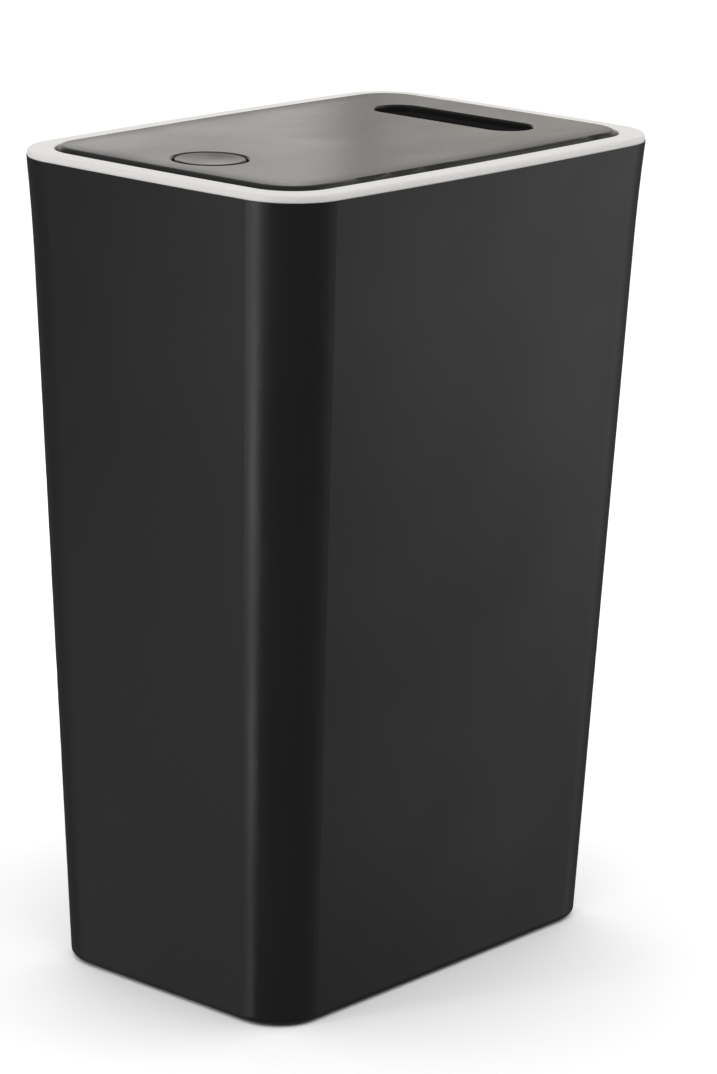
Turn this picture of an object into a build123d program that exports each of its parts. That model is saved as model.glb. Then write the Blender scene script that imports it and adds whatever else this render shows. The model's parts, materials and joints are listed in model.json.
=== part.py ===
"""Push top countertop bin: a tapered body, a lift-off rim with a lid that see-saws on two pins,
and a push button that draws a spring latch. Millimetres, +Z up. The origin is on the floor under
the middle of the bin, the button end faces -Y and the finger slot end faces +Y."""
from build123d import *
from math import atan2, cos, degrees, hypot, radians, sin, sqrt, tan
import os

# ---- body shell ------------------------------------------------------------------------------
BODY_TOP = 300.0            # top of the body's lip above the floor
TOP_HALF_X = 71.8           # half width and half depth of the lip
TOP_HALF_Y = 102.7
FOOT_HALF_X = 58.2          # the same, extended down to the floor
FOOT_HALF_Y = 88.8
TOP_CORNER = 22.5           # vertical corner radius at the lip and at the floor
FOOT_CORNER = 19.0
TOP_BOW = 1930.0            # radius of the gentle outward bow of each side at the lip
FOOT_BOW = 15000.0          # nearly straight sides at the floor
FLARE = 0.75                # extra outward sweep of the lip, over FLARE_HEIGHT
FLARE_HEIGHT = 40.0
WALL = 2.2
FLOOR = 2.4
FOOT_GAP = 0.8              # body underside above the floor, carried by the pads
FOOT_ROUND = 2.4
UNDERCUT = 1.6              # the underside is recessed inside a rim of RING_WIDTH
RING_WIDTH = 7.0
FLOOR_ROUND = 3.0           # inside, where the walls meet the floor
PAD_RADIUS = 6.0
PAD_ROUND = 0.4
PAD_INSET = 16.0

# ---- clearances ------------------------------------------------------------------------------
SEAT_GAP = 0.3              # between moving or seated pieces
LID_GAP = 1.0               # visible gap round the lid
BUTTON_GAP = 1.0            # visible gap round the button
BORE_GAP = 0.05             # pin in bush, bush in rim, screw in pilot hole
CUT = 1.0                   # how far a cutting solid runs past the face it cuts
SINK = 0.5                  # how far a moulded feature is sunk into what it grows from

# ---- rim -------------------------------------------------------------------------------------
RIM_HEIGHT = 2.5            # rim's top above the lip
RIM_WIDTH = 8.6             # lip's outside to the lid opening
OPENING_CORNER = 17.5       # corner radius of the lid opening, rounder than the rim's own inside
RIM_INSET = 0.3             # the rim's side stands this far inside the body's
RIM_OUTER_ROUND = 1.2
RIM_INNER_ROUND = 0.6
RIM_WALL = 1.8
SKIRT_DEPTH = 14.0          # locating skirt inside the body
INNER_WALL_DEPTH = 11.0     # wall round the lid opening, down from the lip
LEDGE_REACH = 4.4           # landing ledge for the lid
LEDGE_THICK = 2.0
STOP_DEPTH = 12.0           # opening stops below the ledge's rear ends
STOP_LENGTH = 5.5
BUMPER_RADIUS = 1.9
BUMPER_SIDE = 31.8          # lip's side to the two front bumpers
BUMPER_FRONT = 82.7         # lip's front to the two side bumpers

# ---- lid -------------------------------------------------------------------------------------
LID_RISE = 1.1              # lid's top above the rim's top
LID_THICK = 2.5
LID_WALL = 1.8
LID_DEPTH = 9.6             # turned-down edge, from the lid's top
LID_ROUND = 2.2             # rounding of the lid's top edge
LID_INNER_ROUND = 1.2
RIB_THICK = 1.4
RIB_DEPTH = 4.0
SLOT_RIB_DEPTH = 14.5        # deep rib behind the finger slot
RIB_MARGIN = 5.0
CROSS_RIBS = 5
LONG_RIBS = 5
LONG_RIB_SIDE = 29.8        # lip's side to the outermost long rib
OPEN_ANGLE = 95.0

# ---- lid pivot -------------------------------------------------------------------------------
PIVOT_INSET = 22.0          # pivot axis in from the lid's rear edge
PIVOT_DROP = 7.0            # pivot axis below the lid's top
PIN_RADIUS = 2.0
PIN_BEVEL = 0.4
BUSH_WALL = 1.2
BOSS_WALL = 2.4
EAR_RADIUS = 4.4
OUTER_EAR = 5.0             # ear thickness beside the lid's edge wall
INNER_EAR = 2.6
SPRING_ROOM = 5.6           # room for the return spring between the two ears
COIL_GAP = 0.45             # pin to the return spring's inside
RETURN_WIRE = 0.5           # return spring's wire radius
RETURN_TURNS = 3.5          # half a turn over, so that both legs point forwards
RETURN_LEG = 13.0
RETURN_BEND = 1.2

# ---- finger slot -----------------------------------------------------------------------------
SLOT_SIDE = 36.3            # lip's side to the slot's end
SLOT_WIDTH = 20.0
SLOT_FROM_REAR = 41.2       # slot's middle to the lip's rear
SLOT_ROUND = 0.8
LINER_WALL = 1.6
LINER_DEPTH = 10.0
LINER_FLANGE = 3.4
FLANGE_SHEET = 1.5
LINER_ROUND = 0.6
STAKE_RADIUS = 1.2
STAKE_X = 22.0
STAKE_LENGTH = 2.6

# ---- button and latch ------------------------------------------------------------------------
BUTTON_RADIUS = 12.5
BUTTON_MARGIN = 21.7        # lip's front to the button's edge
BUTTON_DISH = 0.6           # hollow of the button's top
BUTTON_WALL = 2.0
BUTTON_ROUND = 0.6
HOLE_ROUND = 1.0             # rounding of the button hole's edge
FLANGE_THICK = 1.6          # collar under the lid that keeps the button in
FLANGE_REACH = 2.0
TRAVEL = 3.5                # button's press, and the latch's stroke
STEM_X = 9.2
STEM_Y = 8.0
STEM_TIP = 1.5              # how deep the wedge stands in the bolt at rest
NOSE_CLEAR = 0.7            # drawn-back nose to the ledge's edge
LATCH_WIDTH = 18.0
LATCH_THICK = 4.0
LATCH_TAIL = 18.0           # button's middle to the bolt's rear end
LATCH_ROOM = 10.2           # length of the latch spring
NOSE_BEVEL = 2.2
STRIKE_THICK = 1.2
STRIKE_LENGTH = 38.0
STRIKE_ROUND = 1.0
STRIKE_SCREW_X = 15.5
STRIKE_BOSS = 2.6
HOUSE_GAP = 2.5             # ledge's edge to the housing
HOUSE_SIDE = 5.9            # button's sleeve to the housing's side
HOUSE_WALL = 1.8
HOUSE_PLATE = 2.0
HOUSE_ROUND = 4.0
GUIDE_WALL = 1.6
COVER_THICK = 2.0
COVER_ROUND = 0.6
RAIL_WIDTH = 2.5
SLEEVE_WALL = 1.6
SPIGOT_LENGTH = 3.0
SCREW_RADIUS = 1.45
SCREW_HOLE = 1.7
HEAD_RADIUS = 2.8
SMALL_HEAD = 2.2
HEAD_HEIGHT = 1.9
HEAD_ROUND = 0.7
CROSS_LENGTH = 3.0
CROSS_WIDTH = 0.6
CROSS_DEPTH = 0.9
SCREW_TIP = 0.6
POST_RADIUS = 3.0
POST_RISE = 3.2             # housing's screw posts above its plate
BUTTON_WIRE = 0.5
STEM_ROOM = 0.7             # stem's corners to the button spring's inside
LATCH_COIL = 2.05
LATCH_WIRE = 0.3
COIL_TURNS = 5

# ---- heights and places that follow ----------------------------------------------------------
RIM_TOP = BODY_TOP + RIM_HEIGHT
LID_TOP = RIM_TOP + LID_RISE
LID_UNDER = LID_TOP - LID_THICK
LID_FOOT = LID_TOP - LID_DEPTH
WALL_FOOT = BODY_TOP - INNER_WALL_DEPTH
LEDGE_TOP = WALL_FOOT + LEDGE_THICK
LID_INSET = RIM_WIDTH + LID_GAP
LEDGE_INSET = RIM_WIDTH + LEDGE_REACH
LEDGE_FRONT = LEDGE_INSET - TOP_HALF_Y
SKIRT_INSET = WALL + SEAT_GAP
SKIRT_FOOT = BODY_TOP - SKIRT_DEPTH
PIVOT_Y = TOP_HALF_Y - LID_INSET - PIVOT_INSET
PIVOT_Z = LID_TOP - PIVOT_DROP
BUSH_RADIUS = PIN_RADIUS + BORE_GAP + BUSH_WALL
RETURN_COIL = PIN_RADIUS + COIL_GAP + RETURN_WIRE
SLOT_LENGTH = 2 * (TOP_HALF_X - SLOT_SIDE)
SLOT_Y = TOP_HALF_Y - SLOT_FROM_REAR
BUTTON_Y = BUTTON_MARGIN + BUTTON_RADIUS - TOP_HALF_Y
HOLE_RADIUS = BUTTON_RADIUS + BUTTON_GAP
FLANGE_TOP = LID_UNDER - SEAT_GAP
FLANGE_UNDER = FLANGE_TOP - FLANGE_THICK
FLANGE_RADIUS = BUTTON_RADIUS + FLANGE_REACH
SLEEVE_RADIUS = FLANGE_RADIUS + SEAT_GAP
STEM_FRONT = BUTTON_Y - STEM_Y / 2
STEM_BACK = BUTTON_Y + STEM_Y / 2
BUTTON_COIL = hypot(STEM_X, STEM_Y) / 2 + STEM_ROOM + BUTTON_WIRE
STRIKE_UNDER = WALL_FOOT - STRIKE_THICK
LATCH_TOP = STRIKE_UNDER - SEAT_GAP
LATCH_UNDER = LATCH_TOP - LATCH_THICK
NOSE_Y = LEDGE_FRONT - TRAVEL + NOSE_CLEAR
LATCH_REAR = BUTTON_Y + LATCH_TAIL
SPRING_Z = LATCH_TOP - LATCH_THICK / 2 - SEAT_GAP
PLATE_UNDER = LATCH_TOP + SEAT_GAP
PLATE_TOP = PLATE_UNDER + HOUSE_PLATE
COVER_TOP = LATCH_TOP - STEM_TIP - TRAVEL - 2 * SEAT_GAP
COVER_UNDER = COVER_TOP - COVER_THICK
HOUSE_WIDTH = 2 * (SLEEVE_RADIUS + SLEEVE_WALL + HOUSE_SIDE)
HOUSE_FRONT = LEDGE_FRONT + HOUSE_GAP
HOUSE_BACK = LATCH_REAR + LATCH_ROOM + HOUSE_WALL
POST_X = HOUSE_WIDTH / 2 - HOUSE_WALL - POST_RADIUS - SEAT_GAP
POST_FRONT = HOUSE_FRONT + HOUSE_WALL + POST_RADIUS + SEAT_GAP
POST_BACK = HOUSE_BACK - HOUSE_WALL - POST_RADIUS - SEAT_GAP
POST_TOP = PLATE_TOP + POST_RISE


# ---- outline of the bin ----------------------------------------------------------------------
def half_sizes(z):
    """Half width, half depth, corner radius and side bow of the body's outside at height z."""
    up = min(z, BODY_TOP) / BODY_TOP
    flare = FLARE * max(0.0, (min(z, BODY_TOP) - BODY_TOP + FLARE_HEIGHT) / FLARE_HEIGHT) ** 2
    half_x = FOOT_HALF_X + (TOP_HALF_X - FLARE - FOOT_HALF_X) * up + flare
    half_y = FOOT_HALF_Y + (TOP_HALF_Y - FLARE - FOOT_HALF_Y) * up + flare
    corner = FOOT_CORNER + (TOP_CORNER - FOOT_CORNER) * up
    bow = 1 / (1 / FOOT_BOW + (1 / TOP_BOW - 1 / FOOT_BOW) * up)
    return half_x, half_y, corner, bow


def outline(z, inset=0.0, place=None, rounded=None):
    """The bin's outline at height z, moved inwards by inset: four bowed sides and four corner arcs
    tangent to them. place puts the same outline at another height, and rounded gives its corners
    a radius of their own."""
    half_x, half_y, corner, bow = half_sizes(z)
    half_x, half_y, corner, bow = half_x - inset, half_y - inset, corner - inset, bow - inset
    corner = corner if rounded is None else rounded
    level = z if place is None else place
    side_x, side_y = half_x - bow, half_y - bow          # bow centres, on the X and the Y axis
    reach = hypot(side_x, side_y) / 2
    lift = sqrt((bow - corner) ** 2 - reach ** 2)
    centre_x = side_x / 2 + lift * abs(side_y) / (2 * reach)
    centre_y = side_y / 2 + lift * abs(side_x) / (2 * reach)
    turn_x = atan2(centre_y, centre_x - side_x)          # where the +X side meets its corner
    turn_y = atan2(centre_y - side_y, centre_x)          # where the corner meets the +Y side
    side_end = (side_x + bow * cos(turn_x), bow * sin(turn_x))
    back_end = (bow * cos(turn_y), side_y + bow * sin(turn_y))
    middle = (turn_x + turn_y) / 2
    corner_mid = (centre_x + corner * cos(middle), centre_y + corner * sin(middle))
    arcs = []
    for sx, sy in ((1, 1), (-1, 1), (-1, -1), (1, -1)):
        first, second = (side_end, back_end) if sx * sy > 0 else (back_end, side_end)
        arcs.append([(sx * x, sy * y, level) for x, y in (first, corner_mid, second)])
    side_mids = ((0, half_y, level), (-half_x, 0, level), (0, -half_y, level), (half_x, 0, level))
    edges = []
    for i, arc in enumerate(arcs):
        edges.append(ThreePointArc(*arc))
        edges.append(ThreePointArc(arc[2], side_mids[i], arcs[(i + 1) % 4][0]))
    return Wire(edges)


def side_at(y, inset, z=BODY_TOP):
    """X of the +X side's outline, at y on the bowed stretch."""
    half_x, _, _, bow = half_sizes(z)
    return half_x - bow + sqrt((bow - inset) ** 2 - y ** 2)


def front_at(x, inset):
    """Y of the -Y side's outline at the lip, at x on the bowed stretch."""
    _, half_y, _, bow = half_sizes(BODY_TOP)
    return bow - half_y - sqrt((bow - inset) ** 2 - x ** 2)


def levels(low, high):
    """Section heights of a lofted wall: its ends, and even steps through the flare."""
    steps = [BODY_TOP - FLARE_HEIGHT * (1 - i / 4) for i in range(5)]
    return [low] + [z for z in steps if low < z < high] + [high]


def tapered(low, high, inset=0.0):
    """Solid that follows the body's taper between two heights."""
    return Solid.make_loft([outline(z, inset) for z in levels(low, high)], ruled=True)


def around_opening(inset, place):
    """Outline at the lip that follows the lid opening, with rounder corners than the body's."""
    return outline(BODY_TOP, inset, place, OPENING_CORNER + RIM_WIDTH - inset)


def straight(low, high, inset):
    """Solid with upright sides, on the outline of the lid opening."""
    return extrude(Face(around_opening(inset, low)), high - low, dir=(0, 0, 1))


def ring(low, high, outer, inner):
    """Upright wall round the lid opening, between two insets from the lip's outline."""
    return straight(low, high, outer) - straight(low - CUT, high + CUT, inner)


def block(x0, x1, y0, y1, z0, z1):
    """Box between two corners."""
    size = (x1 - x0, y1 - y0, z1 - z0)
    return Pos((x0 + x1) / 2, (y0 + y1) / 2, (z0 + z1) / 2) * Box(*size)


def disc(x, y, z0, z1, radius):
    """Upright cylinder."""
    return Pos(x, y, (z0 + z1) / 2) * Cylinder(radius, z1 - z0)


def rod(x0, x1, radius):
    """Cylinder on the lid's pivot axis."""
    return Pos((x0 + x1) / 2, PIVOT_Y, PIVOT_Z) * Rot(0, 90, 0) * Cylinder(radius, abs(x1 - x0))


def stadium(z0, z1, grow=0.0):
    """Long round-ended prism on the finger slot."""
    face = SlotOverall(SLOT_LENGTH + 2 * grow, SLOT_WIDTH + 2 * grow)
    return extrude(Pos(0, SLOT_Y, z0) * face, z1 - z0)


def rounded_block(z0, z1, shrink=0.0):
    """The latch housing's footprint between two heights."""
    depth = HOUSE_BACK - HOUSE_FRONT
    face = RectangleRounded(HOUSE_WIDTH - 2 * shrink, depth - 2 * shrink, HOUSE_ROUND - shrink)
    return extrude(Pos(0, (HOUSE_BACK + HOUSE_FRONT) / 2, z0) * face, z1 - z0)


def coil(radius, wire, length, turns):
    """Helical spring along +Z from the origin, between the outsides of its end wires."""
    pitch = (length - 2 * wire) / turns
    path = Pos(0, 0, wire) * Helix(pitch, length - 2 * wire, radius)
    section = Plane(path @ 0, z_dir=path % 0) * Circle(wire)
    return sweep(section, path, is_frenet=True)


def post_places():
    """Screw places in the latch housing's corners."""
    return [(x, y) for x in (-POST_X, POST_X) for y in (POST_FRONT, POST_BACK)]


def strike_screw_places():
    """Screw places along the middle of the front ledge."""
    return [(x, front_at(x, RIM_WIDTH + LEDGE_REACH / 2)) for x in (-STRIKE_SCREW_X, STRIKE_SCREW_X)]


def bumper_places():
    """Bumpers under the lid's edge wall: two in front, two at the sides."""
    inset = RIM_WIDTH + BUMPER_RADIUS + BORE_GAP
    x, y = TOP_HALF_X - BUMPER_SIDE, BUMPER_FRONT - TOP_HALF_Y
    places = [(sign * x, front_at(x, inset)) for sign in (-1, 1)]
    return places + [(sign * side_at(y, inset), y) for sign in (-1, 1)]


def pad_places():
    x, y = FOOT_HALF_X - PAD_INSET, FOOT_HALF_Y - PAD_INSET
    return [(sx * x, sy * y) for sx in (-1, 1) for sy in (-1, 1)]


def lowest(shape):
    return shape.edges().group_by(Axis.Z)[0]


def highest(shape):
    return shape.edges().group_by(Axis.Z)[-1]


def save(name, shape):
    export_step(shape, f"parts/{name}.step")


# ---- body ------------------------------------------------------------------------------------
def bin_body():
    """Tapered shell, open at the top, with a recessed underside."""
    outside = tapered(FOOT_GAP, BODY_TOP)
    outside = outside.fillet(FOOT_ROUND, lowest(outside))
    inside = tapered(FOOT_GAP + UNDERCUT + FLOOR, BODY_TOP + CUT, WALL)
    inside = inside.fillet(FLOOR_ROUND, lowest(inside))
    recess = tapered(FOOT_GAP - CUT, FOOT_GAP + UNDERCUT, RING_WIDTH)
    return Part() + outside - inside - recess


def foot_pads():
    pads = [disc(x, y, 0, FOOT_GAP + UNDERCUT, PAD_RADIUS) for x, y in pad_places()]
    return [pad.fillet(PAD_ROUND, lowest(pad)) for pad in pads]


# ---- rim -------------------------------------------------------------------------------------
def rim_frame():
    """White ring on the body's lip: top plate, locating skirt, wall and ledge round the lid
    opening, opening stops, bush bosses and screw bosses."""
    plate = extrude(Face(outline(BODY_TOP, RIM_INSET)), RIM_HEIGHT, dir=(0, 0, 1))
    plate = plate.fillet(RIM_OUTER_ROUND, highest(plate))
    frame = plate - straight(BODY_TOP - CUT, RIM_TOP + CUT, RIM_WIDTH)
    opening_x, opening_y = TOP_HALF_X - RIM_WIDTH + BORE_GAP, TOP_HALF_Y - RIM_WIDTH + BORE_GAP
    opening_edges = [e for e in highest(frame)
                     if abs(e.center().X) < opening_x and abs(e.center().Y) < opening_y]
    frame = frame.fillet(RIM_INNER_ROUND, opening_edges)
    frame += tapered(SKIRT_FOOT, BODY_TOP, SKIRT_INSET) - tapered(SKIRT_FOOT - CUT, BODY_TOP,
                                                                  SKIRT_INSET + RIM_WALL)
    frame += ring(WALL_FOOT, BODY_TOP, RIM_WIDTH - RIM_WALL, RIM_WIDTH)
    ledge_end = stop_face()
    ledge = ring(WALL_FOOT, LEDGE_TOP, RIM_WIDTH - RIM_WALL, LEDGE_INSET)
    frame += ledge - block(-TOP_HALF_X, TOP_HALF_X, ledge_end, TOP_HALF_Y,
                           WALL_FOOT - CUT, LEDGE_TOP + CUT)
    stops = ring(WALL_FOOT - STOP_DEPTH, WALL_FOOT, RIM_WIDTH - RIM_WALL, LEDGE_INSET)
    frame += stops & block(-TOP_HALF_X, TOP_HALF_X, ledge_end - STOP_LENGTH, ledge_end,
                           WALL_FOOT - STOP_DEPTH, WALL_FOOT)
    channel = tapered(SKIRT_FOOT, BODY_TOP, SKIRT_INSET) - straight(SKIRT_FOOT - CUT,
                                                                    BODY_TOP + CUT, RIM_WIDTH)
    for side in (-1, 1):
        frame += rod(0, side * TOP_HALF_X, BUSH_RADIUS + BOSS_WALL) & channel
        frame -= rod(0, side * bush_end(), BUSH_RADIUS + BORE_GAP)
    boss_top = LID_FOOT - 2 * SEAT_GAP
    for x, y in strike_screw_places():
        frame += disc(x, y, LEDGE_TOP - SINK, boss_top, STRIKE_BOSS)
        frame -= disc(x, y, WALL_FOOT - CUT, boss_top - SINK, SCREW_RADIUS + BORE_GAP)
    return frame


def stop_face():
    """Y of the ledge's rear ends, just in front of the open lid's edge wall."""
    turn = radians(OPEN_ANGLE)
    wall_drop = PIVOT_Z - LID_FOOT
    low = PIVOT_Z - WALL_FOOT + STOP_DEPTH
    return PIVOT_Y - wall_drop * sin(turn) + low / tan(turn) - SEAT_GAP


def bush_start():
    """X of the bush's inner face, just behind the wall round the lid opening."""
    return side_at(PIVOT_Y + BUSH_RADIUS, RIM_WIDTH) + SEAT_GAP


def bush_end():
    """X of the blind end of the bush's hole, inside the skirt's wall."""
    return side_at(PIVOT_Y, SKIRT_INSET + RIM_WALL, PIVOT_Z) + SEAT_GAP


def pivot_bushes():
    """Nylon bushes pressed into the rim, one for each pivot pin."""
    return [rod(side * bush_start(), side * bush_end(), BUSH_RADIUS)
            - rod(0, side * TOP_HALF_X, PIN_RADIUS + BORE_GAP) for side in (-1, 1)]


def strike_plate():
    """Steel wear plate that the latch nose hooks under."""
    back = RIM_WIDTH - RIM_WALL + SINK - TOP_HALF_Y
    plate = block(-STRIKE_LENGTH / 2, STRIKE_LENGTH / 2, back, LEDGE_FRONT,
                  STRIKE_UNDER, WALL_FOOT)
    plate = plate.fillet(STRIKE_ROUND, plate.edges().filter_by(Axis.Z))
    for x, y in strike_screw_places():
        plate -= disc(x, y, STRIKE_UNDER - CUT, WALL_FOOT + CUT, SCREW_HOLE)
    return plate


def screw(x, y, seat, tip, head_radius):
    """Pan-head screw driven upwards, with a cross recess, from its seat to its tip."""
    head = disc(x, y, seat - HEAD_HEIGHT, seat, head_radius)
    head = head.fillet(HEAD_ROUND, lowest(head))
    low, high = seat - HEAD_HEIGHT - CUT, seat - HEAD_HEIGHT + CROSS_DEPTH
    long, wide = CROSS_LENGTH / 2, CROSS_WIDTH / 2
    cross = block(x - long, x + long, y - wide, y + wide, low, high)
    cross += block(x - wide, x + wide, y - long, y + long, low, high)
    shank = disc(x, y, seat, tip, SCREW_RADIUS)
    shank = shank.chamfer(SCREW_TIP, None, highest(shank))
    return head - cross + shank


def strike_screws():
    tip = LID_FOOT - 2 * SEAT_GAP - SINK - SEAT_GAP
    return [screw(x, y, STRIKE_UNDER, tip, SMALL_HEAD) for x, y in strike_screw_places()]


def lid_bumpers():
    return [disc(x, y, LEDGE_TOP, LID_FOOT - SEAT_GAP, BUMPER_RADIUS) for x, y in bumper_places()]


def return_spring():
    """Torsion spring on the right pivot pin. It starts with a straight leg under the lid, winds
    outwards along the pin, and ends with a leg that turns outwards on the rim's ledge."""
    room = SEAT_GAP + RETURN_WIRE
    inner_x = pin_start() + INNER_EAR + room
    outer_x = ear_face() - OUTER_EAR - room
    knee_y = PIVOT_Y - RETURN_LEG
    knee_z = LEDGE_TOP + room
    dip = degrees(atan2(PIVOT_Z - RETURN_COIL - knee_z, RETURN_LEG))
    turns = RETURN_TURNS - dip / 360
    helix = Helix((outer_x - inner_x) / turns, outer_x - inner_x, RETURN_COIL, lefthand=True)
    wound = Pos(inner_x, PIVOT_Y, PIVOT_Z) * Rot(0, 90, 0) * Rot(0, 0, 180) * helix
    lid_leg = Line((inner_x, knee_y, LID_UNDER - room), wound @ 0)
    knee = (outer_x, knee_y, knee_z)
    tip = (side_at(knee_y, RIM_WIDTH + LEDGE_REACH / 2), knee_y, knee_z)
    rim_leg = FilletPolyline(wound @ 1, knee, tip, radius=RETURN_BEND)
    path = Wire(lid_leg.edges() + wound.edges() + rim_leg.edges())
    return sweep(Plane(path @ 0, z_dir=path % 0) * Circle(RETURN_WIRE), path)


# ---- lid -------------------------------------------------------------------------------------
def ear_face():
    """X of the lid's edge wall at the pivot, where the outer ear grows from it."""
    return side_at(PIVOT_Y, LID_INSET + LID_WALL)


def pin_start():
    return ear_face() - OUTER_EAR - SPRING_ROOM - INNER_EAR


def pivot_ears(side):
    """The two moulded ears that hold one pivot pin, trimmed to the lid's outline."""
    ears = Part()
    for x0, x1 in ((ear_face() - OUTER_EAR, TOP_HALF_X), (pin_start(), pin_start() + INNER_EAR)):
        low, high = sorted((side * x0, side * x1))
        ears += rod(low, high, EAR_RADIUS)
        ears += block(low, high, PIVOT_Y - EAR_RADIUS, PIVOT_Y + EAR_RADIUS,
                      PIVOT_Z, LID_UNDER + SINK)
    return ears & straight(PIVOT_Z - EAR_RADIUS - CUT, LID_UNDER + SINK, LID_INSET)


def lid_panel():
    """Lid moulding: rounded top, turned-down edge, pivot ears, ribs, screw bosses and stakes."""
    panel = straight(LID_FOOT, LID_TOP, LID_INSET)
    panel = panel.fillet(LID_ROUND, highest(panel))
    inside = straight(LID_FOOT - CUT, LID_UNDER, LID_INSET + LID_WALL)
    panel -= inside.fillet(LID_INNER_ROUND, highest(inside))
    for side in (-1, 1):
        panel += pivot_ears(side)
        panel -= rod(side * (pin_start() - CUT), side * TOP_HALF_X, PIN_RADIUS + BORE_GAP / 2)
    panel += lid_ribs() + slot_rib()
    for x, y in post_places():
        panel += disc(x, y, POST_TOP, LID_UNDER + SINK, POST_RADIUS)
        panel -= disc(x, y, POST_TOP - CUT, LID_UNDER - SINK, SCREW_RADIUS + BORE_GAP)
    for x, y in stake_places():
        panel += disc(x, y, LID_UNDER - STAKE_LENGTH, LID_UNDER + SINK, STAKE_RADIUS)
    panel -= stadium(LID_UNDER - CUT, LID_TOP + CUT)
    slot_edges = [e for e in highest(panel) if abs(e.center().Y - SLOT_Y) < SLOT_WIDTH / 2 + CUT]
    panel = panel.fillet(SLOT_ROUND, [e for e in slot_edges if abs(e.center().X) < SLOT_LENGTH / 2])
    panel -= disc(0, BUTTON_Y, LID_UNDER - CUT, LID_TOP + CUT, HOLE_RADIUS)
    hole_edges = [e for e in highest(panel)
                  if e.geom_type == GeomType.CIRCLE and abs(e.radius - HOLE_RADIUS) < BORE_GAP]
    return panel.fillet(HOLE_ROUND, hole_edges)


def lid_ribs():
    """Grid of stiffening ribs under the lid, between the latch housing and the slot liner."""
    front = HOUSE_BACK + RIB_MARGIN
    back = SLOT_Y - SLOT_WIDTH / 2 - LINER_WALL - LINER_FLANGE - RIB_MARGIN
    low, high = LID_UNDER - RIB_DEPTH, LID_UNDER + SINK
    half = RIB_THICK / 2
    ribs = Part()
    for i in range(CROSS_RIBS):
        y = front + (back - front) * i / (CROSS_RIBS - 1)
        ribs += block(-TOP_HALF_X, TOP_HALF_X, y - half, y + half, low, high)
    for i in range(LONG_RIBS):
        x = 2 * (TOP_HALF_X - LONG_RIB_SIDE) * (i / (LONG_RIBS - 1) - 0.5)
        ribs += block(x - half, x + half, front, back, low, high)
    return ribs & straight(low - CUT, high + CUT, LID_INSET + LID_WALL / 2)


def slot_rib():
    """Deep rib behind the finger slot, which keeps the lid stiff between its pivots."""
    half = SLOT_LENGTH / 2 + LINER_WALL + LINER_FLANGE
    front = SLOT_Y + SLOT_WIDTH / 2 + LINER_WALL + LINER_FLANGE + RIB_THICK
    return block(-half, half, front, front + RIB_THICK, LID_UNDER - SLOT_RIB_DEPTH, LID_UNDER + SINK)


def stake_places():
    """Heat-staked posts that hold the slot liner's flange."""
    y = SLOT_WIDTH / 2 + LINER_WALL + LINER_FLANGE / 2
    return [(x, SLOT_Y + side * y) for x in (-STAKE_X, STAKE_X) for side in (-1, 1)]


def slot_liner():
    """Smooth sleeve in the finger slot, staked under the lid by its flange."""
    liner = stadium(LID_UNDER - LINER_DEPTH, LID_UNDER, LINER_WALL)
    liner += stadium(LID_UNDER - FLANGE_SHEET, LID_UNDER, LINER_WALL + LINER_FLANGE)
    liner -= stadium(LID_UNDER - LINER_DEPTH - CUT, LID_UNDER + CUT)
    liner = liner.fillet(LINER_ROUND, lowest(liner))
    for x, y in stake_places():
        liner -= disc(x, y, LID_UNDER - FLANGE_SHEET - CUT, LID_UNDER + CUT, STAKE_RADIUS + BORE_GAP)
    return liner


def pivot_pin(side):
    pin = rod(side * pin_start(), side * (bush_end() - SEAT_GAP), PIN_RADIUS)
    return pin.chamfer(PIN_BEVEL, None, pin.edges().filter_by(GeomType.CIRCLE))


# ---- latch -----------------------------------------------------------------------------------
def latch_housing():
    """Box under the lid: a plate with the button's sleeve above it and the bolt's channel below."""
    box = rounded_block(COVER_TOP, LID_UNDER)
    box -= rounded_block(COVER_TOP - CUT, LID_UNDER + CUT, HOUSE_WALL)
    box += rounded_block(PLATE_UNDER, PLATE_TOP, HOUSE_WALL / 2)
    box += disc(0, BUTTON_Y, PLATE_TOP, LID_UNDER, SLEEVE_RADIUS + SLEEVE_WALL)
    box -= disc(0, BUTTON_Y, PLATE_TOP, LID_UNDER + CUT, SLEEVE_RADIUS)
    guide = LATCH_WIDTH / 2 + SEAT_GAP
    for side in (-1, 1):
        low, high = sorted((side * guide, side * (guide + GUIDE_WALL)))
        box += block(low, high, HOUSE_FRONT + SINK, LATCH_REAR + TRAVEL, COVER_TOP, PLATE_UNDER + SINK)
    for x, y in post_places():
        box += disc(x, y, COVER_TOP, POST_TOP, POST_RADIUS)
        box -= disc(x, y, COVER_TOP - CUT, POST_TOP + CUT, SCREW_HOLE)
    box -= block(-guide, guide, HOUSE_FRONT - CUT, HOUSE_FRONT + HOUSE_WALL + SINK,
                 COVER_TOP - CUT, PLATE_UNDER)
    stem = STEM_X / 2 + SEAT_GAP
    box -= block(-stem, stem, STEM_FRONT - SEAT_GAP, STEM_BACK + SEAT_GAP,
                 PLATE_UNDER - CUT, PLATE_TOP + CUT)
    return box + spigot(LATCH_REAR + LATCH_ROOM, -SPIGOT_LENGTH)


def spigot(y, length):
    """Short post that centres the latch spring."""
    post = Cylinder(LATCH_COIL - LATCH_WIRE - SEAT_GAP, abs(length))
    return Pos(0, y + length / 2, SPRING_Z) * Rot(90, 0, 0) * post


def latch_cover():
    """Plate under the housing, with two rails that the bolt slides on."""
    cover = rounded_block(COVER_UNDER, COVER_TOP)
    cover = cover.fillet(COVER_ROUND, lowest(cover))
    edge = LATCH_WIDTH / 2 - SINK
    for side in (-1, 1):
        low, high = sorted((side * (edge - RAIL_WIDTH), side * edge))
        cover += block(low, high, HOUSE_FRONT, LATCH_REAR + TRAVEL,
                       COVER_TOP - SINK, LATCH_UNDER - SEAT_GAP)
    for x, y in post_places():
        cover -= disc(x, y, COVER_UNDER - CUT, COVER_TOP + CUT, SCREW_HOLE)
    return cover


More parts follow.
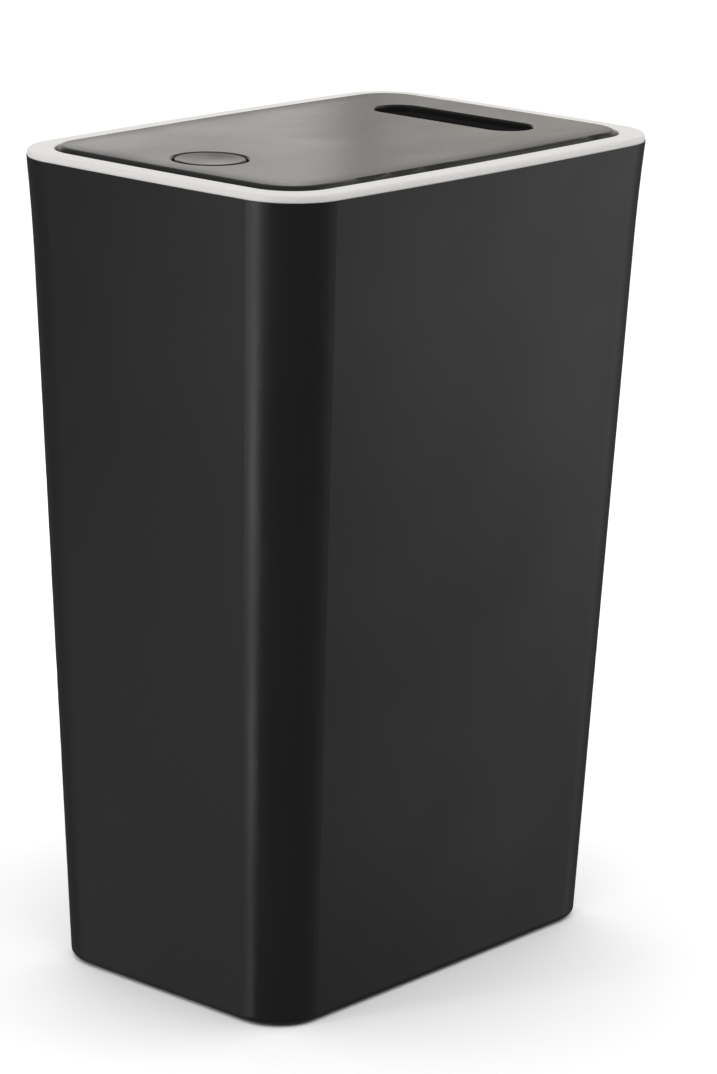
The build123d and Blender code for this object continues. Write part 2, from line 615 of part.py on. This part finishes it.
def housing_screws():
    tip = LID_UNDER - SINK - SEAT_GAP
    return [screw(x, y, COVER_UNDER, tip, HEAD_RADIUS) for x, y in post_places()]


def wedge_line(z, slack=0.0):
    """Y of the plunger's 45 degree face at height z, with the button at rest."""
    return BUTTON_Y + (z - LATCH_TOP) + slack * sqrt(2)


def latch_bolt():
    """Flat bolt with a bevelled nose, a window with a 45 degree rear face, and a spring post."""
    bolt = block(-LATCH_WIDTH / 2, LATCH_WIDTH / 2, NOSE_Y, LATCH_REAR, LATCH_UNDER, LATCH_TOP)
    bolt = bolt.chamfer(NOSE_BEVEL, None, [lowest(bolt).sort_by(Axis.Y)[0]])
    front = STEM_FRONT - TRAVEL - SEAT_GAP
    low, high = LATCH_UNDER - CUT, LATCH_TOP + CUT
    side = [(front, low), (wedge_line(low, SEAT_GAP), low), (wedge_line(high, SEAT_GAP), high),
            (front, high)]
    window = Plane.YZ * make_face(Polyline(*side, close=True))
    bolt -= extrude(window, STEM_X / 2 + SEAT_GAP, both=True)
    return bolt + spigot(LATCH_REAR, SPIGOT_LENGTH)


def latch_spring():
    wound = coil(LATCH_COIL, LATCH_WIRE, LATCH_ROOM, COIL_TURNS)
    return Pos(0, LATCH_REAR, SPRING_Z) * Rot(-90, 0, 0) * wound


# ---- button ----------------------------------------------------------------------------------
def button_cap():
    """Dished cap with a collar that keeps it under the lid."""
    cap = disc(0, BUTTON_Y, FLANGE_TOP - SINK, LID_TOP, BUTTON_RADIUS)
    cap = cap.fillet(BUTTON_ROUND, highest(cap))
    cap += disc(0, BUTTON_Y, FLANGE_UNDER, FLANGE_TOP, FLANGE_RADIUS)
    dish = BUTTON_RADIUS - BUTTON_WALL / 2
    ball = (dish ** 2 + BUTTON_DISH ** 2) / (2 * BUTTON_DISH)
    cap -= Pos(0, BUTTON_Y, LID_TOP + ball - BUTTON_DISH) * Sphere(ball)
    return cap - disc(0, BUTTON_Y, FLANGE_UNDER - CUT, FLANGE_TOP, BUTTON_RADIUS - BUTTON_WALL)


def button_plunger():
    """Acetal plunger clipped into the cap, with a stem that ends in the 45 degree wedge."""
    head = disc(0, BUTTON_Y, FLANGE_UNDER, FLANGE_TOP, BUTTON_RADIUS - BUTTON_WALL - BORE_GAP)
    tip, top = LATCH_TOP - STEM_TIP, FLANGE_UNDER + SINK
    side = [(STEM_FRONT, top), (STEM_FRONT, tip), (wedge_line(tip), tip),
            (STEM_BACK, LATCH_TOP + STEM_Y / 2), (STEM_BACK, top)]
    stem = extrude(Plane.YZ * make_face(Polyline(*side, close=True)), STEM_X / 2, both=True)
    return head + stem


def button_spring():
    wound = coil(BUTTON_COIL, BUTTON_WIRE, FLANGE_UNDER - PLATE_TOP, COIL_TURNS)
    return Pos(0, BUTTON_Y, PLATE_TOP) * wound


if __name__ == "__main__":
    os.makedirs("parts", exist_ok=True)
    save("bin_body", bin_body())
    save("foot_pads", Compound(foot_pads()))
    save("rim_frame", rim_frame())
    save("pivot_bushes", Compound(pivot_bushes()))
    save("strike_plate", strike_plate())
    save("strike_screws", Compound(strike_screws()))
    save("lid_bumpers", Compound(lid_bumpers()))
    spring = return_spring()
    save("return_spring_right", spring)
    save("return_spring_left", mirror(spring, Plane.YZ))
    save("lid_panel", lid_panel())
    save("slot_liner", slot_liner())
    save("pivot_pin_left", pivot_pin(-1))
    save("pivot_pin_right", pivot_pin(1))
    save("latch_housing", latch_housing())
    save("latch_cover", latch_cover())
    save("housing_screws", Compound(housing_screws()))
    save("latch_bolt", latch_bolt())
    save("latch_spring", latch_spring())
    save("button_cap", button_cap())
    save("button_plunger", button_plunger())
    save("button_spring", button_spring())
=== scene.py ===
# %% [markdown]
# # A push top bin, finished in Blender
# The construction comes ready made: every piece is already at its real size and place, in metres, with
# +Z up and the push button towards -Y. These cells add what the construction doesn't hold: a camera,
# a small studio, the finish of each material, and the pieces whose shape changes when the bin is used.

# %% Load the frame
import json
from math import atan2, cos, pi, radians, sin, tan

import bmesh
import bpy
from mathutils import Matrix, Quaternion, Vector


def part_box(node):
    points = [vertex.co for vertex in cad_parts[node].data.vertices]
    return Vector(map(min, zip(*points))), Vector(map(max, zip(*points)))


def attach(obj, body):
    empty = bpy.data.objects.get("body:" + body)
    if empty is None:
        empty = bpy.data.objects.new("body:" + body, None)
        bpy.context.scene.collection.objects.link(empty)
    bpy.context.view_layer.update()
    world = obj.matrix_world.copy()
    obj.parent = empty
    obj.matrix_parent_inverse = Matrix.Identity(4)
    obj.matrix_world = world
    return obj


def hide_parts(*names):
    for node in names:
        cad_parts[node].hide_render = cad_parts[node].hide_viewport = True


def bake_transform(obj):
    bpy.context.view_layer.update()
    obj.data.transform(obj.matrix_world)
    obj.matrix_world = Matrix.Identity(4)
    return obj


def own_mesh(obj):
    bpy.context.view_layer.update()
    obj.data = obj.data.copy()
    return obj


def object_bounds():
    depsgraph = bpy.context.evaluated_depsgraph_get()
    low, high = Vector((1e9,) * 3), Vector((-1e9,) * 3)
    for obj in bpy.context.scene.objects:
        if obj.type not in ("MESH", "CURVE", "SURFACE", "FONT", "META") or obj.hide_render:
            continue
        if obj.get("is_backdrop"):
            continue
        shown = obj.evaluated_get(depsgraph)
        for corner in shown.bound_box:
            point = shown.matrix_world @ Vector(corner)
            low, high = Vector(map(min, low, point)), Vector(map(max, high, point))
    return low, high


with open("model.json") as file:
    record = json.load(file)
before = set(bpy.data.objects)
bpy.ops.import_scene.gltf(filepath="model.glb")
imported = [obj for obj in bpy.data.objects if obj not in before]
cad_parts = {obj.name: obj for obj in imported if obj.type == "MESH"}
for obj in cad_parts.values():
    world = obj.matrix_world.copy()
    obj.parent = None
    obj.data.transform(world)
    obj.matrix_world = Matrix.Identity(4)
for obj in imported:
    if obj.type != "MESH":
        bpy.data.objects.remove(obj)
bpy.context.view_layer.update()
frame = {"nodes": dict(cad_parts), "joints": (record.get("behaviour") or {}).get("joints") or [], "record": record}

MM = 0.001

# %% [markdown]
# ## The camera
# A long lens from about a metre and a half away keeps the tall sides nearly parallel. The camera stands
# off the corner between the button end and the long right side, a little above the lid, so the lid is
# seen at a very flat angle. Blender's lens is worked out from a focal length in pixels: the sensor's
# 36 mm lie along the tall side of the frame.

# %% Place the camera
SENSOR_WIDTH = 36
FRAME_HEIGHT_PIXELS = 1074
FOCAL_PIXELS = 4053.8
CAMERA_AZIMUTH = radians(41.214)
CAMERA_ELEVATION = radians(15.281)
CAMERA_ROLL = radians(1.213)
CAMERA_DISTANCE = 1.4955
CAMERA_TARGET = Vector((0.00474, 0.00817, 0.15406))


def heading(azimuth, elevation):
    """Unit vector towards a bearing: azimuth 0 is -Y, where the button is, and 90 degrees is +X."""
    return Vector((sin(azimuth) * cos(elevation), -cos(azimuth) * cos(elevation), sin(elevation)))


def add_camera():
    """A camera at CAMERA_DISTANCE from its target, rolled a little about its own line of sight."""
    back = heading(CAMERA_AZIMUTH, CAMERA_ELEVATION)
    level = Vector((cos(CAMERA_AZIMUTH), sin(CAMERA_AZIMUTH), 0))
    up = back.cross(level)
    right = level * cos(CAMERA_ROLL) + up * sin(CAMERA_ROLL)
    upright = up * cos(CAMERA_ROLL) - level * sin(CAMERA_ROLL)
    data = bpy.data.cameras.new("camera")
    data.sensor_width = SENSOR_WIDTH
    data.lens = FOCAL_PIXELS * SENSOR_WIDTH / FRAME_HEIGHT_PIXELS
    camera = bpy.data.objects.new("camera", data)
    turned = Matrix((right, upright, back)).transposed().to_4x4()
    camera.matrix_world = Matrix.Translation(CAMERA_TARGET + back * CAMERA_DISTANCE) @ turned
    bpy.context.scene.collection.objects.link(camera)
    bpy.context.scene.camera = camera
    return camera


camera = add_camera()
print("lens:", round(camera.data.lens, 1), "mm")

# %% [markdown]
# ## The studio
# The bin is black satin plastic, which shows little colour of its own: what the eye reads is what each
# face mirrors. One big even light would turn every side the same grey, so each side gets a card of its
# own, and the near corner is left to mirror the dark room between two cards.
# The floor is plain white paper. It is left out of mirror reflections, so that the tapered sides, which
# look slightly down, mirror the cards that hang lower than the table and not the paper.

# %% Lay the floor and dim the room
FLOOR_SIZE = 12.0
FLOOR_COLOUR = (0.95, 0.95, 0.95, 1)
ROOM_LEVEL = 0.12
bpy.context.scene.view_settings.view_transform = "Standard"


def add_floor():
    """A matt white square under the bin, which isn't part of the model."""
    mesh = bpy.data.meshes.new("floor")
    side = FLOOR_SIZE / 2
    corners = [(-side, -side, 0), (side, -side, 0), (side, side, 0), (-side, side, 0)]
    mesh.from_pydata(corners, [], [(0, 1, 2, 3)])
    floor = bpy.data.objects.new("floor", mesh)
    bpy.context.scene.collection.objects.link(floor)
    material = bpy.data.materials.new("floor_paper")
    material.use_nodes = True
    shader = material.node_tree.nodes["Principled BSDF"]
    shader.inputs["Base Color"].default_value = FLOOR_COLOUR
    shader.inputs["Roughness"].default_value = 1.0
    shader.inputs["Specular IOR Level"].default_value = 0.0
    mesh.materials.append(material)
    floor.visible_glossy = False
    floor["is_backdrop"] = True
    return floor


def add_room():
    """An even dim light from all sides."""
    world = bpy.data.worlds.new("room")
    bpy.context.scene.world = world
    world.use_nodes = True
    background = world.node_tree.nodes["Background"]
    background.inputs["Color"].default_value = (1, 1, 1, 1)
    background.inputs["Strength"].default_value = ROOM_LEVEL


add_floor()
add_room()
print("floor", FLOOR_SIZE, "m wide")

# %% [markdown]
# ## Cards and softboxes
# Each card is an area light that faces the bin. Its place is written the way it is set up in a studio:
# the bearing it stands at, how far away, and from what height to what height it reaches. Its level
# stands for how bright its face is, so it stays the same when the card is made bigger.
# A card is stacked from two boxes where a side fades from top to bottom: the satin finish blurs the
# join away. The sky is a wide soft sun that fills matt white things and isn't mirrored.

# %% Hang the lights
def add_softbox(name, bearing, distance, low, high, width, level, colour=(1, 1, 1), aside=0.0):
    """An upright soft light that faces the bin, moved aside along its own width."""
    data = bpy.data.lights.new(name, "AREA")
    data.shape = "RECTANGLE"
    data.size, data.size_y = width, high - low
    data.energy = level * pi * width * (high - low)
    data.color = colour
    light = bpy.data.objects.new(name, data)
    away = heading(radians(bearing), 0)
    along = heading(radians(bearing + 90), 0)
    light.location = away * distance + along * aside + Vector((0, 0, (low + high) / 2))
    light.rotation_mode = "QUATERNION"
    light.rotation_quaternion = away.to_track_quat("Z", "Y")
    light.visible_camera = False
    bpy.context.scene.collection.objects.link(light)
    return light


def add_sky(strength, degrees_wide):
    """A broad light from overhead that soft finishes feel but gloss doesn't mirror."""
    data = bpy.data.lights.new("sky", "SUN")
    data.energy = strength
    data.angle = radians(degrees_wide)
    sky = bpy.data.objects.new("sky", data)
    sky.visible_glossy = False
    bpy.context.scene.collection.objects.link(sky)
    return sky


def add_stack(name, bearing, distance, width, boxes):
    """Boxes on top of each other: each is its lower height, its upper height and its level."""
    for i, (low, high, level) in enumerate(boxes):
        add_softbox(f"{name}_{i}", bearing, distance, low, high, width, level)


WARM = (1, 0.975, 0.94)
WARMER = (1, 0.95, 0.885)
BACKDROP = {"bearing": 221, "distance": 1.2, "low": 0.335, "high": 0.86, "width": 1.1}
add_sky(strength=3.3, degrees_wide=120)
add_softbox("backdrop_left", **BACKDROP, level=1.14, colour=WARM, aside=0.56)
add_softbox("backdrop_right", **BACKDROP, level=0.8, colour=WARMER, aside=-0.56)
add_stack("right_card", bearing=142, distance=0.7, width=0.5,
          boxes=[(-0.35, 0.0, 0.46), (0.0, 0.9, 0.82)])
add_stack("left_card", bearing=-45, distance=0.9, width=0.4,
          boxes=[(-0.9, -0.12, 0.37), (-0.12, 0.5, 0.06)])
add_stack("front_strip", bearing=-15, distance=0.8, width=0.14,
          boxes=[(-0.4, -0.1, 4.5), (-0.1, 0.5, 6.2)])

# %% [markdown]
# ## Moulded plastic
# Most of the bin is injection moulded. Up close such a skin is never even: the steel mould leaves a fine
# grain, the melt leaves faint clouds where it cooled at another pace, and hands polish it a little.
# A picture could carry all that, but noise computed in the object's own metres needs no picture and
# keeps its scale on every piece. So one recipe makes every plastic here: clouds tint the colour and
# change the roughness, and a fine grain goes into the bump.

# %% A recipe for moulded plastic
def new_finish(name):
    """A new material with its node tree and its shader."""
    material = bpy.data.materials.new(name)
    material.use_nodes = True
    return material, material.node_tree, material.node_tree.nodes["Principled BSDF"]


def noise_at(tree, scale, detail=2.0, stretch=(1, 1, 1)):
    """A noise pattern in the object's own metres: scale is in cells per metre."""
    place = tree.nodes.new("ShaderNodeTexCoord")
    mapping = tree.nodes.new("ShaderNodeMapping")
    mapping.inputs["Scale"].default_value = stretch
    noise = tree.nodes.new("ShaderNodeTexNoise")
    noise.inputs["Scale"].default_value = scale
    noise.inputs["Detail"].default_value = detail
    tree.links.new(place.outputs["Object"], mapping.inputs["Vector"])
    tree.links.new(mapping.outputs["Vector"], noise.inputs["Vector"])
    return noise.outputs["Fac"]


def spread(tree, value, low, high, start=0.3, stop=0.7):
    """Stretch a pattern's middle range to run from low to high."""
    node = tree.nodes.new("ShaderNodeMapRange")
    node.inputs["From Min"].default_value = start
    node.inputs["From Max"].default_value = stop
    node.inputs["To Min"].default_value = low
    node.inputs["To Max"].default_value = high
    tree.links.new(value, node.inputs["Value"])
    return node.outputs["Result"]


def tint(tree, value, dark, light):
    """Mix two colours by a pattern."""
    node = tree.nodes.new("ShaderNodeMix")
    node.data_type = "RGBA"
    node.inputs["A"].default_value = (*dark, 1)
    node.inputs["B"].default_value = (*light, 1)
    tree.links.new(value, node.inputs["Factor"])
    return node.outputs["Result"]


def add_grain(tree, shader, height, depth):
    """Press a pattern into the surface, depth metres deep."""
    bump = tree.nodes.new("ShaderNodeBump")
    bump.inputs["Strength"].default_value = 1.0
    bump.inputs["Distance"].default_value = depth
    tree.links.new(height, bump.inputs["Height"])
    tree.links.new(bump.outputs["Normal"], shader.inputs["Normal"])


GRAIN_SCALE = 900.0
GRAIN_DEPTH = 0.02 * MM


def moulded_plastic(name, dark, light, rough, cloud=18.0, stretch=(1, 1, 1)):
    """Satin plastic between two colours and two roughnesses, with cloud patches per metre."""
    material, tree, shader = new_finish(name)
    clouds = noise_at(tree, cloud, detail=4, stretch=stretch)
    tree.links.new(tint(tree, clouds, dark, light), shader.inputs["Base Color"])
    tree.links.new(spread(tree, clouds, *rough), shader.inputs["Roughness"])
    add_grain(tree, shader, noise_at(tree, GRAIN_SCALE, detail=3), GRAIN_DEPTH)
    return material


print("grain:", round(1 / GRAIN_SCALE / MM, 1), "mm wide,", round(GRAIN_DEPTH / MM, 2), "mm deep")

# %% [markdown]
# ## A duller border
# Hands and cloths polish the middle of a lid and miss its border, which keeps the duller skin that the
# mould gave it. A second material for the border would end at a hard line. Here the distance from the
# piece's front and long sides is worked out in the shader instead, and adds some roughness that
# fades away inwards. The rear border stays as smooth as the middle.

# %% A recipe for a matt border
def join(tree, operation, first, second):
    """Work out one value from two: each is a number or another node's output."""
    node = tree.nodes.new("ShaderNodeMath")
    node.operation = operation
    for socket, value in zip(node.inputs, (first, second)):
        if isinstance(value, (int, float)):
            socket.default_value = value
        else:
            tree.links.new(value, socket)
    return node.outputs["Value"]


def near_border(tree, node, width):
    """A pattern that is 0 on most of a piece and climbs to 1 at its front and its two long sides."""
    low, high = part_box(node)
    middle, half = (low + high) / 2, (high - low) / 2
    place = tree.nodes.new("ShaderNodeTexCoord")
    split = tree.nodes.new("ShaderNodeSeparateXYZ")
    tree.links.new(place.outputs["Object"], split.inputs["Vector"])
    aside = join(tree, "ABSOLUTE", join(tree, "SUBTRACT", split.outputs["X"], middle.x), 0)
    ahead = join(tree, "SUBTRACT", middle.y, split.outputs["Y"])
    long_sides = spread(tree, aside, 0, 1, half.x - width, half.x)
    front = spread(tree, ahead, 0, 1, half.y - width, half.y)
    return join(tree, "MAXIMUM", long_sides, front)


def matt_border(material, node, width, extra):
    """Add extra roughness along the sides of a piece."""
    tree = material.node_tree
    rough = tree.nodes["Principled BSDF"].inputs["Roughness"]
    inner = rough.links[0].from_socket
    edge = near_border(tree, node, width)
    soft = join(tree, "MULTIPLY", edge, edge)
    tree.links.new(join(tree, "ADD", inner, join(tree, "MULTIPLY", soft, extra)), rough)
    print(material.name, "is matt along a border of", round(width / MM, 1), "mm")


# %% [markdown]
# ## One plastic for each job
# The body is plain black with a satin skin. The lid and the button have a smoother skin, and
# years of wiping leave broad streaks of more and less gloss in it, which show at a flat angle. The
# rim is a warm white. The parts inside are what such parts are made of: acetal for the latch
# and the plunger, because it slides well, nylon for the bushes, and soft rubber for pads and bumpers.

# %% Mix the plastics
LID_BORDER = 14 * MM
BORDER_ROUGHNESS = 0.16
FINISHES = {}


def add_plastic(name, dark, light, rough, **pattern):
    FINISHES[name] = moulded_plastic(name, dark, light, rough, **pattern)


add_plastic("body_plastic", (0.0062, 0.0062, 0.0066), (0.0080, 0.0079, 0.0082), (0.37, 0.44))
add_plastic("rim_plastic", (0.60, 0.588, 0.572), (0.64, 0.628, 0.612), (0.50, 0.62))
add_plastic("lid_plastic", (0.012, 0.0115, 0.011), (0.018, 0.0175, 0.017), (0.23, 0.31),
            cloud=22.0, stretch=(1, 0.6, 1))
add_plastic("liner_plastic", (0.020, 0.018, 0.018), (0.028, 0.025, 0.025), (0.45, 0.55))
add_plastic("button_plastic", (0.013, 0.0125, 0.012), (0.017, 0.0165, 0.016), (0.29, 0.38), cloud=60.0)
add_plastic("latch_acetal", (0.60, 0.59, 0.54), (0.66, 0.65, 0.60), (0.30, 0.40))
add_plastic("bush_nylon", (0.48, 0.47, 0.42), (0.54, 0.53, 0.48), (0.38, 0.48))
add_plastic("pad_rubber", (0.025, 0.025, 0.025), (0.04, 0.04, 0.04), (0.7, 0.85))
matt_border(FINISHES["lid_plastic"], "lid_panel", LID_BORDER, BORDER_ROUGHNESS)
print("plastics:", sorted(FINISHES))

# %% [markdown]
# ## Steel
# The pins, screws, springs and the strike plate are steel. Metal has no colour under its shine, so the
# shader's metallic value is 1 and the base colour is the colour of its reflection. Drawn wire and
# rolled sheet carry long fine scratches. They are noise again, pulled out along one direction.

# %% Mix the steels
SCRATCH_SCALE = 900.0
SCRATCH_DEPTH = 0.008 * MM
SCRATCH_SHADE = 0.82
SMOOTHER = 0.06
ROUGHER = 0.08


def add_steel(name, colour, rough, stretch):
    """Bright steel with fine scratches, close together where stretch is high and long where it is low."""
    material, tree, shader = new_finish(name)
    scratches = noise_at(tree, SCRATCH_SCALE, detail=4, stretch=stretch)
    dark = tuple(c * SCRATCH_SHADE for c in colour)
    tree.links.new(tint(tree, scratches, dark, colour), shader.inputs["Base Color"])
    roughness = spread(tree, scratches, rough - SMOOTHER, rough + ROUGHER)
    tree.links.new(roughness, shader.inputs["Roughness"])
    add_grain(tree, shader, scratches, SCRATCH_DEPTH)
    shader.inputs["Metallic"].default_value = 1.0
    FINISHES[name] = material


add_steel("steel_sheet", (0.58, 0.58, 0.59), 0.35, (0.08, 1, 1))
add_steel("pin_steel", (0.55, 0.55, 0.56), 0.25, (0.05, 1, 1))
add_steel("screw_steel", (0.66, 0.66, 0.66), 0.3, (1, 1, 0.3))
add_steel("spring_steel", (0.45, 0.45, 0.46), 0.3, (0.6, 1, 1))
print("finishes:", len(FINISHES))

# %% [markdown]
# ## Finishes onto the pieces
# The record says which material slot each piece of the construction has. Reading the slot from there
# keeps the two in step: a piece that is added later gets its finish without a new line here.

# %% Give every piece of the construction its finish
SLOT_OF = {part["node"]: part["material_slot"] for part in frame["record"]["subparts"]}
for node, piece in frame["nodes"].items():
    piece.data.materials.clear()
    piece.data.materials.append(FINISHES[SLOT_OF[node]])
print({node: SLOT_OF[node] for node in sorted(SLOT_OF)})

# %% [markdown]
# ## Wire
# A spring is one length of round wire. The construction's springs are rigid, but a real one changes
# shape when the bin is used, so the four springs are made again here as pieces of wire.
# A curve with a round bevel would do for the look. A mesh is made instead, because its wall can
# be checked and it bends point by point. Each ring of the tube is turned from the ring
# before it by the smallest turn that follows the wire, so that the tube never twists or pinches,
# and the cut ends are closed with a small dome.

# %% A tube along a row of points
WIRE_SIDES = 14
DOME_RINGS = 4
DOME_HEIGHT = 0.5


def unit_steps(points):
    """The direction of the wire at each point."""
    steps = []
    for i in range(len(points)):
        before, after = points[max(i - 1, 0)], points[min(i + 1, len(points) - 1)]
        steps.append((after - before).normalized())
    return steps


def wire_frames(points):
    """A side direction at each point, carried along the wire without twisting."""
    steps = unit_steps(points)
    side = steps[0].orthogonal().normalized()
    frames = [(steps[0], side)]
    for i in range(1, len(steps)):
        side = steps[i - 1].rotation_difference(steps[i]) @ side
        side = (side - steps[i] * side.dot(steps[i])).normalized()
        frames.append((steps[i], side))
    return frames


def wire_rings(points, radius):
    """Centre, direction, side and radius of every ring, with shrinking rings for the two domes."""
    frames = wire_frames(points)
    rings = [(p, d, s, radius) for p, (d, s) in zip(points, frames)]
    for end, sign in ((0, -1), (-1, 1)):
        point, (direction, side) = points[end], frames[end]
        for i in range(1, DOME_RINGS):
            turn = pi / 2 * i / DOME_RINGS
            centre = point + direction * sign * radius * DOME_HEIGHT * sin(turn)
            ring = (centre, direction, side, radius * cos(turn))
            rings.insert(0 if sign < 0 else len(rings), ring)
    return rings


def wire_piece(name, points, radius):
    """A closed round wire along the points, in spring steel."""
    mesh = bpy.data.meshes.new(name)
    bm = bmesh.new()
    loops = []
    for centre, direction, side, width in wire_rings(points, radius):
        loop = []
        for i in range(WIRE_SIDES):
            turned = Quaternion(direction, 2 * pi * i / WIRE_SIDES) @ side
            loop.append(bm.verts.new(centre + turned * width))
        loops.append(loop)
    for first, second in zip(loops, loops[1:]):
        for i in range(WIRE_SIDES):
            j = (i + 1) % WIRE_SIDES
            bm.faces.new((first[i], first[j], second[j], second[i]))
    bm.faces.new(loops[0][::-1])
    bm.faces.new(loops[-1])
    for face in bm.faces:
        face.smooth = True
    bm.to_mesh(mesh)
    bm.free()
    piece = bpy.data.objects.new(name, mesh)
    mesh.materials.append(FINISHES["spring_steel"])
    bpy.context.scene.collection.objects.link(piece)
    return piece


def length_of(points):
    """Length of the wire along its middle line."""
    return sum((b - a).length for a, b in zip(points, points[1:]))


print("wire:", WIRE_SIDES, "sides, domes of", DOME_RINGS, "rings")

# %% [markdown]
# ## Two compression springs
# One spring pushes the button up and one pushes the latch bolt forward. On the real object the first and
# the last turn of such a spring are wound closed and ground flat, so that it stands square on its seat.
# Here the height climbs slowly over the first and last part of a turn and quickly in between. Both
# ride on the lid.

# %% Wind the button spring and the latch spring
STEPS_PER_TURN = 36
COIL_TURNS = 5
CLOSED_TURN = 0.6
CLOSED_RISE = 0.12
BUTTON_COIL = 7.3 * MM
BUTTON_WIRE = 0.5 * MM
LATCH_COIL = 2.05 * MM
LATCH_WIRE = 0.3 * MM
ALONG_Y = 1
ALONG_Z = 2


def climb(share, turns):
    """Height along the spring, from 0 to 1, after a share of its wire: its ends lie nearly flat."""
    closed = CLOSED_TURN / turns
    flat = CLOSED_RISE / turns
    if share < closed:
        return flat * share / closed
    if share > 1 - closed:
        return 1 - flat * (1 - share) / closed
    inner = (share - closed) / (1 - 2 * closed)
    return flat + (1 - 2 * flat) * inner


def compression_spring(node, axis, radius, wire, turns):
    """Wire wound inside the box of the spring that it replaces, along Y or along Z."""
    low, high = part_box(node)
    middle = (low + high) / 2
    start, stop = low[axis] + wire, high[axis] - wire
    points = []
    count = int(turns * STEPS_PER_TURN)
    for i in range(count + 1):
        turn = 2 * pi * turns * i / count
        across = (radius * cos(turn), radius * sin(turn))
        along = start + (stop - start) * climb(i / count, turns)
        place = Vector((middle.x + across[0], middle.y + across[1], along))
        if axis == ALONG_Y:
            place = Vector((middle.x + across[0], along, middle.z + across[1]))
        points.append(place)
    piece = wire_piece(node + "_wire", points, wire)
    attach(piece, "lid")
    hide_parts(node)
    print(piece.name, "wire length in mm:", round(length_of(points) / MM, 1))
    return piece, low, high


button_spring, low, high = compression_spring(
    "button_spring", ALONG_Z, BUTTON_COIL, BUTTON_WIRE, COIL_TURNS)
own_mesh(button_spring)
latch_spring, low, high = compression_spring(
    "latch_spring", ALONG_Y, LATCH_COIL, LATCH_WIRE, COIL_TURNS)
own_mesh(latch_spring)

# %% [markdown]
# ## Two torsion springs
# The lid swings up by two springs wound round its pivot pins. Each starts as a straight leg under the
# lid, winds outwards along the pin and ends as a leg that lies on the rim's ledge with its tip turned
# outwards. When the lid turns, one leg goes with it and the coil shares the turn between its windings.

# %% Wind the return springs
RETURN_COIL = 2.95 * MM
RETURN_WIRE = 0.5 * MM
RETURN_BEND = 1.2 * MM
RETURN_TURNS = 3.5
COIL_LENGTH = 4.0 * MM
LEG_STEPS = 8
CORNER_STEPS = 8
HINGE = Vector(next(j for j in frame["joints"] if j["name"] == "lid_hinge")["pos_m"])


def rounded_corner(before, corner, after, radius):
    """Points of an arc in place of the sharp corner of a wire."""
    into, out = (corner - before).normalized(), (after - corner).normalized()
    half = into.angle(out) / 2
    back = radius * tan(half)
    first, last = corner - into * back, corner + out * back
    centre = corner + (out - into).normalized() * radius / cos(half)
    points = []
    for i in range(CORNER_STEPS + 1):
        spoke = (first - centre).slerp(last - centre, i / CORNER_STEPS).normalized()
        points.append(centre + spoke * radius)
    return points


def return_spring_points(inner, outer, knee, tip_x, top_z, side):
    """The wire of the spring on one side: lid leg, coil, rim leg and turned-out tip."""
    leg_end = Vector((inner, knee.y, top_z))
    coil_top = Vector((inner, HINGE.y, HINGE.z + RETURN_COIL))
    points = [leg_end.lerp(coil_top, i / LEG_STEPS) for i in range(LEG_STEPS + 1)]
    dip = atan2(HINGE.z - RETURN_COIL - knee.z, HINGE.y - knee.y)
    whole_turn = RETURN_TURNS * 2 * pi - dip
    count = int(RETURN_TURNS * STEPS_PER_TURN)
    for i in range(1, count + 1):
        turn = whole_turn * i / count
        x = inner + (outer - inner) * i / count
        points.append(Vector((x, HINGE.y + RETURN_COIL * sin(turn), HINGE.z + RETURN_COIL * cos(turn))))
    tip = Vector((tip_x, knee.y, knee.z))
    points += rounded_corner(points[-1], Vector((outer, knee.y, knee.z)), tip, RETURN_BEND)
    points.append(tip)
    return [Vector((side * p.x, p.y, p.z)) for p in points]


def return_spring(node, side):
    """The torsion spring on one side, as a wire wound round the lid's hinge."""
    low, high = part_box(node)
    inner = min(abs(low.x), abs(high.x)) + RETURN_WIRE
    outer = inner + COIL_LENGTH
    tip_x = max(abs(low.x), abs(high.x)) - RETURN_WIRE * DOME_HEIGHT
    knee = Vector((outer, low.y + RETURN_WIRE, low.z + RETURN_WIRE))
    points = return_spring_points(inner, outer, knee, tip_x, high.z - RETURN_WIRE, side)
    piece = wire_piece(node + "_wire", points, RETURN_WIRE)
    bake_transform(piece)
    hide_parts(node)
    print(piece.name, "wire length in mm:", round(length_of(points) / MM, 1))
    return piece


return_spring("return_spring_right", 1)
return_spring("return_spring_left", -1)

# %% [markdown]
# ## Measure and finish
# The finished model must be as big as the construction. The last line prints the size of the finished
# model in millimetres.

# %% Measure and finish
low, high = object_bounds()
print("visual size in mm:", [round(x / MM, 1) for x in high - low])
